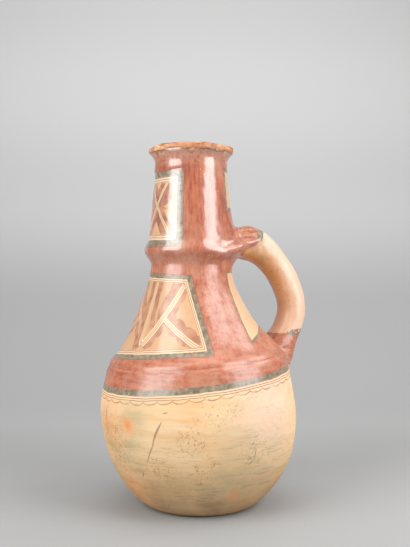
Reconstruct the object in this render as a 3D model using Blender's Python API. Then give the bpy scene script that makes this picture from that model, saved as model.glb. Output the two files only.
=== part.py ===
"""One-handled jug of fired clay, hollow and open at the top.

A round belly carries a flared bell, a rolled collar and a tall neck with a turned-out lip.
A strap handle, fused to the wall at both ends, runs from the collar out and down to the shoulder.
The origin is the centre of the flat foot, +Z is up, and the handle stands along +X.
"""

import math

import bmesh
import bpy
from mathutils import Vector

# Outer wall from the foot up: each rise is measured from the place below it
FOOT_RADIUS = 0.0537
HEEL_RISE = 0.012
HEEL_RADIUS = 0.0678
FLANK_RISE = 0.018
FLANK_RADIUS = 0.0815
LOWER_BELLY_RISE = 0.025
LOWER_BELLY_RADIUS = 0.0922
BELLY_RISE = 0.035
BELLY_RADIUS = 0.0968
ROLL_RISE = 0.036
ROLL_RADIUS = 0.0912
SHOULDER_RISE = 0.013
SHOULDER_RADIUS = 0.0867
BELL_HEM_RISE = 0.013
BELL_HEM_RADIUS = 0.0753
BELL_RISE = 0.035
BELL_RADIUS = 0.0562
BELL_TOP_RISE = 0.037
BELL_TOP_RADIUS = 0.0415
GROOVE_RISE = 0.012
GROOVE_RADIUS = 0.0397
COLLAR_RISE = 0.013
COLLAR_RADIUS = 0.0463
NECK_FOOT_RISE = 0.011
NECK_FOOT_RADIUS = 0.0425
NECK_RISE = 0.040
NECK_RADIUS = 0.0386
THROAT_RISE = 0.037
THROAT_RADIUS = 0.0358
LIP_RISE = 0.011
LIP_RADIUS = 0.0427
LIP_CROWN = 0.0045

# Thickness of the clay
FLOOR_THICKNESS = 0.010
BELLY_WALL = 0.0080
NECK_WALL = 0.0070

# The thrown body leans away from its handle: how far its axis stands off the foot's
BELLY_LEAN = 0.0034
NECK_LEAN = 0.0100

# The shoulder's roll and the foot of the bell climb towards the handle
SHOULDER_CLIMB = 0.0100

# Handle: its middle line in the plane y = 0, and the section's size across and through
HANDLE_REACH = 0.1005
HANDLE_TOP_ABOVE_COLLAR = 0.007
HANDLE_TOP_RISE = 0.0155
HANDLE_TOP_RUN = 0.0285
HANDLE_BOW_HEIGHT = 0.053
HANDLE_BOW_ABOVE = 0.0265
HANDLE_BOW_BELOW = 0.020
HANDLE_END_BELOW_SHOULDER = 0.014
HANDLE_END_REACH = 0.0705
HANDLE_HEEL_SLOPE = 0.034
HANDLE_THICKNESS = 0.0280
HANDLE_WIDTH = 0.0320
HANDLE_ROUNDNESS = 2.3

# Where the strap widens into the wall, as added thickness and width at its very ends
UPPER_ROOT_THICKENING = 0.012
UPPER_ROOT_WIDENING = 0.008
LOWER_ROOT_THICKENING = 0.016
LOWER_ROOT_WIDENING = 0.010
UPPER_ROOT_SPREAD = 0.28
LOWER_ROOT_SPREAD = 0.28

# Clay smoothed round the roots, as a swelling of the wall
UPPER_SWELL = 0.0100
UPPER_SWELL_HEIGHT = 0.017
UPPER_SWELL_WIDTH = 0.027
LOWER_SWELL = 0.0070
LOWER_SWELL_HEIGHT = 0.016
LOWER_SWELL_WIDTH = 0.024
LOWER_SWELL_ABOVE_SHOULDER = 0.018

# Fineness of the facets
TURN_STEPS = 56
OUTER_RING_GAP = 0.0090
COLLAR_RING_GAP = 0.0036
INNER_RING_GAP = 0.0140
LIP_STEPS = 5
HANDLE_RINGS = 28
HANDLE_SIDES = 20
CLIMB_PASSES = 5
CAP_SCALE = 0.5
SLOPE_STEP = 0.001
STEEPEST_SLOPE = 1.2
WELD = 1e-6

SLIP_COLOUR = (0.335, 0.095, 0.050, 1.0)
SLIP_ROUGHNESS = 0.32


def stations():
    """Heights and radii of the outer wall's named places, from the foot to the lip."""
    steps = (
        (0.0, FOOT_RADIUS),
        (HEEL_RISE, HEEL_RADIUS),
        (FLANK_RISE, FLANK_RADIUS),
        (LOWER_BELLY_RISE, LOWER_BELLY_RADIUS),
        (BELLY_RISE, BELLY_RADIUS),
        (ROLL_RISE, ROLL_RADIUS),
        (SHOULDER_RISE, SHOULDER_RADIUS),
        (BELL_HEM_RISE, BELL_HEM_RADIUS),
        (BELL_RISE, BELL_RADIUS),
        (BELL_TOP_RISE, BELL_TOP_RADIUS),
        (GROOVE_RISE, GROOVE_RADIUS),
        (COLLAR_RISE, COLLAR_RADIUS),
        (NECK_FOOT_RISE, NECK_FOOT_RADIUS),
        (NECK_RISE, NECK_RADIUS),
        (THROAT_RISE, THROAT_RADIUS),
        (LIP_RISE, LIP_RADIUS),
    )
    height = 0.0
    places = []
    for rise, radius in steps:
        height += rise
        places.append((height, radius))
    return places


STATIONS = stations()
FLANK_Z = STATIONS[2][0]
BELLY_Z = STATIONS[4][0]
ROLL_Z = STATIONS[5][0]
SHOULDER_Z = STATIONS[6][0]
BELL_Z = STATIONS[8][0]
BELL_TOP_Z = STATIONS[9][0]
GROOVE_Z = STATIONS[10][0]
COLLAR_Z = STATIONS[11][0]
NECK_FOOT_Z = STATIONS[12][0]
THROAT_Z = STATIONS[14][0]
LIP_Z = STATIONS[15][0]


def station_slopes():
    """Slope of the wall's curve at each station, flat at every crest and hollow."""
    spans = [
        (upper[0] - lower[0], (upper[1] - lower[1]) / (upper[0] - lower[0]))
        for lower, upper in zip(STATIONS, STATIONS[1:])
    ]
    slopes = [spans[0][1]]
    for (low_run, low), (high_run, high) in zip(spans, spans[1:]):
        if low * high <= 0.0:
            slopes.append(0.0)
            continue
        low_weight = 2.0 * high_run + low_run
        high_weight = high_run + 2.0 * low_run
        slopes.append((low_weight + high_weight) / (low_weight / low + high_weight / high))
    slopes.append(spans[-1][1])
    return slopes


SLOPES = station_slopes()


def wall_radius(z):
    """Radius of the plain turned wall at a height, on a cubic between the stations."""
    if z <= 0.0:
        return FOOT_RADIUS
    if z >= LIP_Z:
        return LIP_RADIUS
    index = max(i for i, place in enumerate(STATIONS[:-1]) if place[0] <= z)
    low_z, low_r = STATIONS[index]
    high_z, high_r = STATIONS[index + 1]
    run = high_z - low_z
    t = (z - low_z) / run
    rest = 1.0 - t
    return (
        low_r * (1.0 + 2.0 * t) * rest**2
        + high_r * (3.0 - 2.0 * t) * t**2
        + SLOPES[index] * run * t * rest**2
        - SLOPES[index + 1] * run * rest * t**2
    )


def ramp(value, low, high):
    """Rises smoothly from 0 at low to 1 at high."""
    t = min(max((value - low) / (high - low), 0.0), 1.0)
    return t * t * (3.0 - 2.0 * t)


def axis_x(z):
    """Where the leaning axis stands at a height."""
    belly_part = ramp(z, FLANK_Z, ROLL_Z)
    neck_part = ramp(z, ROLL_Z, BELL_TOP_Z)
    return -BELLY_LEAN * belly_part - (NECK_LEAN - BELLY_LEAN) * neck_part


def climb(z, angle):
    """How far the wall turned at a height is lifted at an angle from the handle."""
    share = ramp(z, BELLY_Z, SHOULDER_Z) * (1.0 - ramp(z, SHOULDER_Z, BELL_Z))
    return SHOULDER_CLIMB * share * 0.5 * (1.0 + math.cos(angle))


def turned_height(z, angle):
    """The height at which the wall found at z was turned, before its climb."""
    turned = z
    for _ in range(CLIMB_PASSES):
        turned = z - climb(turned, angle)
    return turned


def clay_thickness(z):
    """Thickness of the wall square to its surface at a height."""
    return BELLY_WALL + (NECK_WALL - BELLY_WALL) * ramp(z, SHOULDER_Z, GROOVE_Z)


def inner_radius(z):
    """Radius of the hollow, a wall's thickness inside the outer face."""
    change = wall_radius(z + SLOPE_STEP) - wall_radius(z - SLOPE_STEP)
    slope = min(abs(change) / (2.0 * SLOPE_STEP), STEEPEST_SLOPE)
    return wall_radius(z) - clay_thickness(z) * math.sqrt(1.0 + slope**2)


def bell_bump(distance, width):
    return math.exp(-((distance / width) ** 2))


def root_swell(z, angle):
    """How far the wall swells out towards a handle root."""
    arc = abs(math.remainder(angle, math.tau)) * wall_radius(z)
    upper_z = COLLAR_Z + HANDLE_TOP_ABOVE_COLLAR
    lower_z = SHOULDER_Z + LOWER_SWELL_ABOVE_SHOULDER
    upper = bell_bump(z - upper_z, UPPER_SWELL_HEIGHT) * bell_bump(arc, UPPER_SWELL_WIDTH)
    lower = bell_bump(z - lower_z, LOWER_SWELL_HEIGHT) * bell_bump(arc, LOWER_SWELL_WIDTH)
    return UPPER_SWELL * upper + LOWER_SWELL * lower


def heights_between(low, high, gap):
    """Ring heights from low up to, but without, high, about a gap apart."""
    count = max(1, round((high - low) / gap))
    return [low + (high - low) * i / count for i in range(count)]


def outer_outline():
    """Half outline of the outer face, from the foot up to the lip's widest place."""
    heights = []
    for (low, _), (high, _) in zip(STATIONS, STATIONS[1:]):
        turned_fine = BELL_TOP_Z <= low < NECK_FOOT_Z or low >= THROAT_Z
        heights += heights_between(low, high, COLLAR_RING_GAP if turned_fine else OUTER_RING_GAP)
    heights.append(LIP_Z)
    return [(wall_radius(z), z) for z in heights]


def lip_outline():
    """Half outline over the lip, a flat half round from its outer to its inner edge."""
    inner = LIP_RADIUS - NECK_WALL
    middle = 0.5 * (LIP_RADIUS + inner)
    half = 0.5 * (LIP_RADIUS - inner)
    points = []
    for i in range(1, LIP_STEPS):
        angle = math.pi * i / LIP_STEPS
        points.append((middle + half * math.cos(angle), LIP_Z + LIP_CROWN * math.sin(angle)))
    return points + [(inner, LIP_Z)]


def inner_outline():
    """Half outline of the hollow, from under the lip down to the floor."""
    heights = heights_between(FLOOR_THICKNESS, COLLAR_Z, INNER_RING_GAP)
    heights += heights_between(COLLAR_Z, THROAT_Z, INNER_RING_GAP)
    return [(inner_radius(z), z) for z in reversed(heights)]


def make_body():
    """The thrown body: its outline turned once round, then leaned and swelled."""
    mesh = bmesh.new()
    outline = [(0.0, 0.0)] + outer_outline() + lip_outline() + inner_outline()
    outline.append((0.0, FLOOR_THICKNESS))
    verts = [mesh.verts.new((radius, 0.0, z)) for radius, z in outline]
    edges = [mesh.edges.new(pair) for pair in zip(verts, verts[1:])]
    bmesh.ops.spin(
        mesh,
        geom=verts + edges,
        cent=(0.0, 0.0, 0.0),
        axis=(0.0, 0.0, 1.0),
        angle=math.tau,
        steps=TURN_STEPS,
        use_merge=True,
    )
    bmesh.ops.remove_doubles(mesh, verts=mesh.verts, dist=WELD)
    bmesh.ops.recalc_face_normals(mesh, faces=mesh.faces)
    for vert in mesh.verts:
        shape_wall_point(vert)
    return object_from(mesh, "jug")


def shape_wall_point(vert):
    """Moves a turned point to its place on the leaning wall, swelled out near the handle."""
    x, y, z = vert.co
    radius = math.hypot(x, y)
    angle = math.atan2(y, x)
    if radius > 0.0 and radius > inner_radius(z) + 0.5 * clay_thickness(z):
        swelled = radius + root_swell(z, angle)
        x, y = x * swelled / radius, y * swelled / radius
    vert.co = (x + axis_x(z), y, z + climb(z, angle))


def handle_line(t):
    """Point and direction of the handle's middle line, from the collar (0) to the shoulder (1)."""
    top_z = COLLAR_Z + HANDLE_TOP_ABOVE_COLLAR
    top = Vector((axis_x(top_z) + wall_radius(top_z), 0.0, top_z))
    bow = Vector((HANDLE_REACH, 0.0, SHOULDER_Z + HANDLE_BOW_HEIGHT))
    end = Vector((HANDLE_END_REACH, 0.0, SHOULDER_Z - HANDLE_END_BELOW_SHOULDER))
    top_pull = top + Vector((HANDLE_TOP_RUN, 0.0, HANDLE_TOP_RISE))
    above = bow + Vector((0.0, 0.0, HANDLE_BOW_ABOVE))
    below = bow - Vector((0.0, 0.0, HANDLE_BOW_BELOW))
    end_pull = end + Vector((0.5 * HANDLE_HEEL_SLOPE, 0.0, HANDLE_HEEL_SLOPE))
    if t < 0.5:
        return bezier((top, top_pull, above, bow), 2.0 * t)
    return bezier((bow, below, end_pull, end), 2.0 * t - 1.0)


def bezier(points, t):
    a, b, c, d = points
    rest = 1.0 - t
    place = a * rest**3 + b * 3.0 * t * rest**2 + c * 3.0 * t**2 * rest + d * t**3
    way = (b - a) * rest**2 + (c - b) * 2.0 * t * rest + (d - c) * t**2
    return place, way.normalized()


def handle_section(t, scale):
    """One ring of the strap: a rounded oval square to the middle line."""
    place, way = handle_line(t)
    outward = Vector((way.z, 0.0, -way.x)) * -1.0
    upper = 1.0 - ramp(t, 0.0, UPPER_ROOT_SPREAD)
    lower = ramp(t, 1.0 - LOWER_ROOT_SPREAD, 1.0)
    thickness = HANDLE_THICKNESS + UPPER_ROOT_THICKENING * upper + LOWER_ROOT_THICKENING * lower
    width = HANDLE_WIDTH + UPPER_ROOT_WIDENING * upper + LOWER_ROOT_WIDENING * lower
    power = 2.0 / HANDLE_ROUNDNESS
    ring = []
    for i in range(HANDLE_SIDES):
        angle = math.tau * i / HANDLE_SIDES
        across = math.copysign(abs(math.cos(angle)) ** power, math.cos(angle))
        through = math.copysign(abs(math.sin(angle)) ** power, math.sin(angle))
        point = place + outward * (0.5 * thickness * scale * through)
        point.y = 0.5 * width * scale * across
        ring.append(point)
    return ring


def set_in_wall(point, always):
    """Keeps a handle point out of the hollow: no deeper than the middle of the wall."""
    turned = turned_height(point.z, math.atan2(point.y, point.x - axis_x(point.z)))
    x = point.x - axis_x(turned)
    radius = math.hypot(x, point.y)
    middle = 0.5 * (wall_radius(turned) + inner_radius(turned))
    if radius < middle or always:
        x, y = x * middle / radius, point.y * middle / radius
        return Vector((x + axis_x(turned), y, point.z))
    return point


def make_handle():
    """The strap as a closed tube, its two ends set in the middle of the wall."""
    mesh = bmesh.new()
    rings = [[set_in_wall(p, True) for p in handle_section(0.0, CAP_SCALE)]]
    for i in range(HANDLE_RINGS + 1):
        at_end = i in (0, HANDLE_RINGS)
        section = handle_section(i / HANDLE_RINGS, 1.0)
        rings.append([set_in_wall(p, at_end) for p in section])
    rings.append([set_in_wall(p, True) for p in handle_section(1.0, CAP_SCALE)])
    rings = [[mesh.verts.new(p) for p in ring] for ring in rings]
    for ring, following in zip(rings, rings[1:]):
        for i in range(HANDLE_SIDES):
            j = (i + 1) % HANDLE_SIDES
            mesh.faces.new((ring[i], ring[j], following[j], following[i]))
    for t, ring in ((0.0, rings[0]), (1.0, rings[-1])):
        centre = mesh.verts.new(set_in_wall(handle_line(t)[0], True))
        for i in range(HANDLE_SIDES):
            mesh.faces.new((ring[i], centre, ring[(i + 1) % HANDLE_SIDES]))
    bmesh.ops.recalc_face_normals(mesh, faces=mesh.faces)
    return object_from(mesh, "handle_strap")


def object_from(mesh, name):
    data = bpy.data.meshes.new(name)
    mesh.to_mesh(data)
    mesh.free()
    data.shade_smooth()
    obj = bpy.data.objects.new(name, data)
    bpy.context.scene.collection.objects.link(obj)
    return obj


def make_slip():
    """Red-brown clay slip, fired and varnished with resin."""
    slip = bpy.data.materials.new("fired_clay_slip")
    slip.use_nodes = True
    shader = slip.node_tree.nodes["Principled BSDF"]
    shader.inputs["Base Color"].default_value = SLIP_COLOUR
    shader.inputs["Roughness"].default_value = SLIP_ROUGHNESS
    shader.inputs["Metallic"].default_value = 0.0
    return slip


def join_handle(body, handle):
    """Fuses the strap to the body, and keeps it as a guide that isn't rendered."""
    handle.hide_render = True
    handle.display_type = "WIRE"
    union = body.modifiers.new("handle", "BOOLEAN")
    union.operation = "UNION"
    union.solver = "EXACT"
    union.object = handle


def main():
    for obj in list(bpy.data.objects):
        bpy.data.objects.remove(obj, do_unlink=True)
    body = make_body()
    body.data.materials.append(make_slip())
    join_handle(body, make_handle())


main()
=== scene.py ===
"""Looks of the one-handled jug: hand-built clay with red slip, painted panels and a cream belly."""

import math

import bmesh
import bpy
import numpy as np
from bpy.props import FloatProperty, FloatVectorProperty, PointerProperty
from mathutils import Matrix, Vector


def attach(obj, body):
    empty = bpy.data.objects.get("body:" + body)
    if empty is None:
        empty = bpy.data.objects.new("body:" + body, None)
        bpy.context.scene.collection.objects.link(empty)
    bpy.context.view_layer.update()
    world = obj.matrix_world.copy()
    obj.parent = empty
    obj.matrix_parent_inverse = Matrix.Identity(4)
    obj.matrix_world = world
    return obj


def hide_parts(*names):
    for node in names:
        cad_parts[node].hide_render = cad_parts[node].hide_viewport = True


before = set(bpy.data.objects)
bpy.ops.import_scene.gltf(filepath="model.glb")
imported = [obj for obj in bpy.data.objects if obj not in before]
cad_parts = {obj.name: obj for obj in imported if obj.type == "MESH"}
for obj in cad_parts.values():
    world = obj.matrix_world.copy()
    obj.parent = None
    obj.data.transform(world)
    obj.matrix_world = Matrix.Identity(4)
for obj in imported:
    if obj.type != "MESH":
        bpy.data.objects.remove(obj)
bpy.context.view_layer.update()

bl_info = {
    "name": "Painted one-handled jug",
    "version": (1, 0, 0),
    "blender": (4, 5, 0),
    "location": "3D View > Sidebar > Jug",
    "description": "Builds a hand-built clay jug with painted panels, and its studio",
    "category": "Add Mesh",
}

# Outer wall from the foot up: name, rise above the place below, radius, in metres
WALL_PLACES = (
    ("foot", 0.0, 0.0537),
    ("heel", 0.012, 0.0678),
    ("flank", 0.018, 0.0815),
    ("lower_belly", 0.025, 0.0922),
    ("belly", 0.035, 0.0968),
    ("roll", 0.036, 0.0912),
    ("shoulder", 0.013, 0.0867),
    ("bell_hem", 0.013, 0.0753),
    ("bell", 0.035, 0.0562),
    ("bell_top", 0.037, 0.0415),
    ("groove", 0.012, 0.0397),
    ("collar", 0.013, 0.0463),
    ("neck_foot", 0.011, 0.0425),
    ("neck", 0.040, 0.0386),
    ("throat", 0.037, 0.0358),
    ("lip", 0.011, 0.0427),
)

# Other sizes of the wall and of the handle: key, metres, what it is
WALL_SIZES = (
    ("lip_crown", 0.0045, "Height of the lip's rounded top"),
    ("floor", 0.010, "Thickness of the floor"),
    ("belly_clay", 0.008, "Thickness of the clay in the belly"),
    ("neck_clay", 0.007, "Thickness of the clay in the neck"),
    ("belly_lean", 0.0034, "How far the belly leans from the handle"),
    ("neck_lean", 0.010, "How far the neck stands off the foot's axis"),
    ("shoulder_climb", 0.010, "Rise of the shoulder at the handle"),
)
STRAP_SIZES = (
    ("reach", 0.1005, "Middle of the strap at its bow, from the foot's axis"),
    ("above_collar", 0.007, "Upper root above the collar"),
    ("top_rise", 0.0155, "How far the strap climbs as it leaves the collar"),
    ("top_run", 0.0285, "How far the strap runs out before it turns"),
    ("bow_height", 0.053, "Height of the bow above the shoulder"),
    ("bow_above", 0.0265, "Fullness of the bow above its widest place"),
    ("bow_below", 0.020, "Fullness of the bow below its widest place"),
    ("end_below", 0.014, "Lower end below the shoulder"),
    ("end_reach", 0.0705, "Lower end from the foot's axis"),
    ("heel_slope", 0.034, "Length of the strap's straight lower end"),
    ("thickness", 0.028, "Strap from its outer to its inner face"),
    ("width", 0.032, "Strap from side to side"),
    ("upper_thickening", 0.012, "Added thickness at the collar"),
    ("upper_widening", 0.008, "Added width at the collar"),
    ("lower_thickening", 0.016, "Added thickness at the shoulder"),
    ("lower_widening", 0.010, "Added width at the shoulder"),
    ("upper_swell", 0.010, "Swelling of the wall at the collar"),
    ("lower_swell", 0.007, "Swelling of the wall at the shoulder"),
)

# Colours of the slips and of the bare clay: key, sRGB hex code, what it is
COLOURS = (
    ("red", "BC6A48", "Burnished red slip"),
    ("red_dark", "97492F", "Red slip where it lies thick"),
    ("red_worn", "BF8B71", "Red slip rubbed thin"),
    ("black", "716450", "Olive-black lines and borders"),
    ("black_pale", "9C8C74", "Olive-black where it is rubbed thin"),
    ("panel", "D3A076", "Cream ground of the panels"),
    ("line", "E4C6A2", "Fine cream lines"),
    ("fill", "BE886C", "Thin red-brown brushed into the panels"),
    ("fill_dark", "9A5C42", "Red-brown where the brush left it thick"),
    ("belly", "DFB887", "Matte cream slip on the belly"),
    ("belly_pale", "E6C79E", "Belly slip where it is cleanest"),
    ("belly_pink", "EAC9B2", "Belly slip with a flush of the firing"),
    ("belly_grey", "A59A74", "Grey-green smoke smudges"),
    ("belly_tan", "AD8658", "Handled clay near the foot"),
    ("rust", "E5843A", "Bright orange bloom on the belly"),
    ("stain", "6E5238", "Dark brown grime in pits and cracks"),
    ("strap", "E0B699", "Cream slip on the handle's outer face"),
    ("strap_under", "D0915A", "Rubbed clay on the handle's inner face"),
    ("clay", "D2976A", "Orange clay where the slip is worn away"),
    ("clay_dark", "B06E48", "Darker patches of the rubbed lip"),
    ("clay_inside", "A06A46", "Unpainted clay inside the neck"),
)

# Swelling of the wall at the roots: how far it spreads up and round, and where the lower one sits
UPPER_SPREAD = (0.017, 0.027)
LOWER_SPREAD = (0.016, 0.024)
LOWER_SWELL_RISE = 0.018

# Fineness of the control cage: sides round the body and round the strap
TURN_SIDES = 64
STRAP_SIDES = 28
STRAP_RINGS = 30
LIP_STEPS = 4
UPPER_ROOT_SEGMENTS = 8
LOWER_ROOT_SEGMENTS = 6
UPPER_ROOT_ROWS = 6
LOWER_ROOT_ROWS = 8

# Heights of the cage's rows in metres, the stretches with how many rows each has
LIP_FOOT = 0.337
FOOT_ROWS = (0.0, 0.0012, 0.0045)
STRETCHES = (
    (0.009, 0.118, 14),
    (0.118, 0.1665, LOWER_ROOT_ROWS),
    (0.1665, 0.2385, 9),
    (0.2385, 0.2745, UPPER_ROOT_ROWS),
    (0.2745, LIP_FOOT, 7),
)
LIP_ROWS = (LIP_FOOT, 0.3405, 0.3445, 0.348)
HOLLOW_ROWS = 18

# Between these heights the smoothed clay is laid back on the wall's outline
ABOVE_FOOT = 0.004
BELOW_LIP = 0.3475

# Where the lip is chipped, in degrees from the handle
CHIP_ANGLE = -112.0

# How much of the handle's line the strap covers before it is bridged to the wall
STRAP_START = 0.13
STRAP_STOP = 0.865
ROOT_DIVIDE = 0.205
ROOT_CUTS = 2
ROOT_ROUNDNESS = 0.6

# Paint measured on the wall: angles in degrees from the handle, the rest in millimetres
# Heights of the two lines of painted shade in the crease under the bell, which climb towards the
# handle
CREASE_SHADE_HEIGHTS = (144.2, 141.0)

# Front panel of the neck, its border and lines counted in from the edge, and its crossed arms
NECK_PANEL_ANGLE = -166.0
NECK_MM_PER_DEGREE = 0.667
NECK_HALF_WIDTH = 31.3
NECK_MIDDLE = 289.0
NECK_HALF_HEIGHT = 37.0
NECK_BORDER, NECK_LINES = 6.9, 12.2
CROSSING = (0.0, 291.9)
ARM_ENDS = ((13.3, 314.5), (17.1, 265.4))

# Plain panel above the handle
BACK_MM_PER_DEGREE = 0.65
BACK_HALF_TURN = 50.0
BACK_MIDDLE = 308.5
BACK_HALF_HEIGHT = 20.5

# Front panel of the bell: a degree's width at the foot and what it loses with each millimetre up,
# then the bowed sides, widest at one height
BELL_PANEL_ANGLE = -156.0
BELL_FOOT = 151.6
BELL_MM_PER_DEGREE = 1.31
BELL_NARROWING = 0.0076
BELL_WIDEST = 152.3
BELL_HALF_TURN = 58.8
BELL_CURVE = 0.00201
BELL_MIDDLE = 186.9
BELL_HALF_HEIGHT = 39.9
BELL_BORDER, BELL_LINES = 5.9, 9.6

# Plain panel under the handle, its sides spreading downwards
UNDER_HALF_TURN = 51.8
UNDER_SPREAD = 0.16
UNDER_SPREAD_FROM = 228.3
UNDER_TOP = 229.0

# Belly: the dark band climbs and sinks round the jug, with lines and scallops hung below it
BAND_MIDDLE = 127.75
BAND_CLIMB = 10.25
BELLY_MM_PER_DEGREE = 1.66
BELLY_LINES = (-3.9, -5.8)
SCALLOP_TURN = 8.78

# Bands of the bell's panel: degrees from its middle, and height
LONG_BAND = ((0.5, 160.5), (38.5, 216.0))
SHORT_BAND = ((16.0, 187.0), (47.5, 160.0))

# Belly marks: their colour and least share where patchy, then angle, height, radius and strength
BELLY_MARKS = (
    (
        "belly_grey",
        0.35,
        (
            (-172.0, 74.0, 20.0, 0.65),
            (-151.0, 86.0, 15.0, 0.55),
            (-146.0, 104.0, 13.0, 0.40),
            (-153.0, 62.0, 16.0, 0.55),
            (-72.0, 56.0, 34.0, 0.45),
            (-92.0, 72.0, 24.0, 0.15),
            (-97.0, 30.0, 20.0, 0.60),
            (-125.0, 22.0, 22.0, 0.35),
            (40.0, 60.0, 30.0, 0.50),
            (120.0, 75.0, 24.0, 0.45),
        ),
    ),
    (
        "rust",
        0.75,
        (
            (-150.7, 89.2, 7.0, 0.50),
            (-150.7, 89.2, 3.0, 1.00),
            (-170.0, 84.0, 20.0, 0.42),
            (-160.0, 24.0, 18.0, 0.38),
            (-88.0, 26.0, 5.0, 0.50),
            (-112.0, 101.0, 9.0, 0.22),
            (70.0, 84.0, 20.0, 0.50),
        ),
    ),
    (
        "stain",
        0.60,
        (
            (-99.0, 14.0, 9.0, 0.45),
            (-106.0, 20.0, 10.0, 0.30),
            (-141.0, 20.0, 14.0, 0.30),
            (20.0, 16.0, 12.0, 0.30),
        ),
    ),
)
# Where pits and cracks gather: angle, height and radius
SPECKLED = (
    (-114.0, 77.0, 12.0),
    (-132.0, 50.0, 14.0),
    (-167.0, 85.0, 14.0),
    (-161.0, 58.0, 15.0),
    (-79.0, 70.0, 12.0),
    (-110.0, 46.0, 9.0),
    (30.0, 50.0, 22.0),
    (110.0, 66.0, 20.0),
)
# Scratches: from and to, as angle and height, and half their width
SCRATCHES = (
    ((-128.9, 97.6), (-135.5, 75.0), 0.9),
    ((-133.0, 81.0), (-141.1, 55.5), 0.6),
    ((-125.2, 104.4), (-128.6, 103.4), 0.5),
    ((-77.3, 70.9), (-78.4, 60.3), 0.5),
    ((-78.0, 61.0), (-82.0, 55.3), 0.5),
    ((-144.2, 49.0), (-146.8, 41.0), 0.5),
    ((-101.0, 60.5), (-103.0, 55.0), 0.4),
    ((-98.4, 102.1), (-99.4, 102.3), 0.8),
    ((-172.0, 104.0), (-173.5, 88.0), 0.6),
    ((60.0, 96.0), (72.0, 70.0), 0.7),
)

# Greys of the studio paper, its painted light and shade: the one under the jug, then from and to
# how far along it, in metres, and the grey it comes to
PAPER_GREY = "9E9E9E"
PAPER_PAINTED_LIGHT_GREYS = (
    (0.04, 0.20, "9B9B9B"),
    (0.24, 0.42, "A0A0A0"),
    (1.20, 1.80, "B6B6B6"),
    (1.90, 2.30, "BDBDBD"),
    (2.35, 2.80, "B0B0B0"),
)

# Studio paper in metres: floor, how far it stands towards the camera, rise and bend at the back
PAPER_WIDTH, PAPER_DEPTH = 7.0, 4.6
PAPER_SHIFT = -0.7
PAPER_RISE = 3.2
PAPER_BEND = 1.1

# View of the photo: turned from +Y, and the camera's place in metres
VIEW_TURN = math.radians(20.0)
CAMERA_DISTANCE = 0.760
CAMERA_HEIGHT = 0.2268
CAMERA_SIDE = 0.0044


def linear(code):
    """Linear RGBA of an sRGB hex code."""
    channels = [int(code[i : i + 2], 16) / 255.0 for i in (0, 2, 4)]
    return [c / 12.92 if c <= 0.04045 else ((c + 0.055) / 1.055) ** 2.4 for c in channels] + [1.0]


def settings(kind, rows, **shown):
    """Sidebar settings from rows of key, value and meaning."""
    return {
        key: kind(
            name=key.replace("_", " ").capitalize(), description=about, default=value, **shown
        )
        for key, value, about in rows
    }


class JugWall(bpy.types.PropertyGroup):
    """Outer wall of the jug, place by place from the foot up."""

    rises = [("rise_" + place, rise, "Rise from the place below") for place, rise, _ in WALL_PLACES]
    radii = [("radius_" + place, r, "Radius of the wall here") for place, _, r in WALL_PLACES]
    sizes = (*rises, *radii, *WALL_SIZES)
    __annotations__ = settings(FloatProperty, sizes, unit="LENGTH", precision=5)


class JugStrap(bpy.types.PropertyGroup):
    """The strap handle and the clay smoothed round its roots."""

    __annotations__ = settings(FloatProperty, STRAP_SIZES, unit="LENGTH", precision=5)


class JugPaint(bpy.types.PropertyGroup):
    """Colours of the slips and of the bare clay."""

    rows = [(key, linear(code), about) for key, code, about in COLOURS]
    __annotations__ = settings(
        FloatVectorProperty, rows, subtype="COLOR", size=4, min=0.0, max=1.0
    )


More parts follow.
